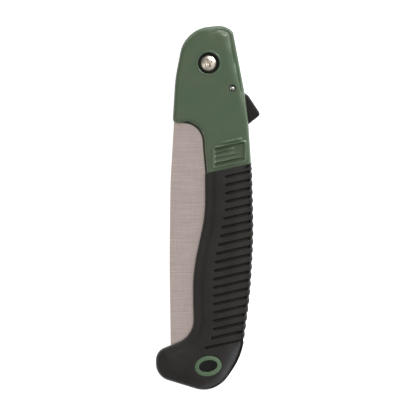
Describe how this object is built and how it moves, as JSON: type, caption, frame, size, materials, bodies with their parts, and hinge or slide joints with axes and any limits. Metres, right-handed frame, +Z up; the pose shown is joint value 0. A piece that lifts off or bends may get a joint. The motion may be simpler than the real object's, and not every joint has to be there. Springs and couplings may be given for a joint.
{
  "type": "folding pruning saw",
  "caption": "Folded hand saw for pruning: toothed blade pivoting into a slotted two-material handle, with a sprung thumb lever that locks it, pivot screw and lanyard eye.",
  "frame": {"origin": "on the surface the folded saw lies on, under the middle of its bounding box", "axes": "+Y along the handle from the lanyard eye to the pivot end, +X towards the handle's back with the lock lever, +Z up through the handle's thickness, on the side of the pivot screw's head"},
  "size_m": [0.0653, 0.229, 0.022],
  "materials": {
    "green_plastic": "fine satin grain",
    "black_rubber": "matte",
    "blade_steel": "fine cross-ground",
    "zinc_steel": "bright plated",
    "blackened_steel": "black oxide",
    "white_nylon": "natural",
    "black_plastic": "satin",
    "spring_steel": "drawn wire"
  },
  "bodies": {
    "handle": {"handle_core": "green_plastic", "grip_overmould": "black_rubber", "pivot_screw": "zinc_steel", "screw_washer": "blackened_steel", "pivot_bush": "zinc_steel", "pivot_nut": "zinc_steel", "nut_insert": "white_nylon", "blade_washer_upper": "white_nylon", "blade_washer_lower": "white_nylon", "lever_pin": "zinc_steel"},
    "blade": {"blade": "blade_steel"},
    "lever": {"lock_lever": "black_plastic", "lock_pawl": "blade_steel", "lever_spring": "spring_steel"}
  },
  "joints": [
    {"name": "blade_swing", "type": "hinge", "parent": "handle", "child": "blade", "pos_m": [0.00048, 0.09082, 0.011], "axis": [0, 0, -1], "range_deg": [0, 170]},
    {"name": "lever_press", "type": "hinge", "parent": "handle", "child": "lever", "pos_m": [0.01548, 0.07512, 0.011], "axis": [0, 0, -1], "range_deg": [0, 6.5], "stiffness_Nm_per_rad": 0.8, "springref_deg": -5.73, "deforming": ["lever_spring"]}
  ]
}
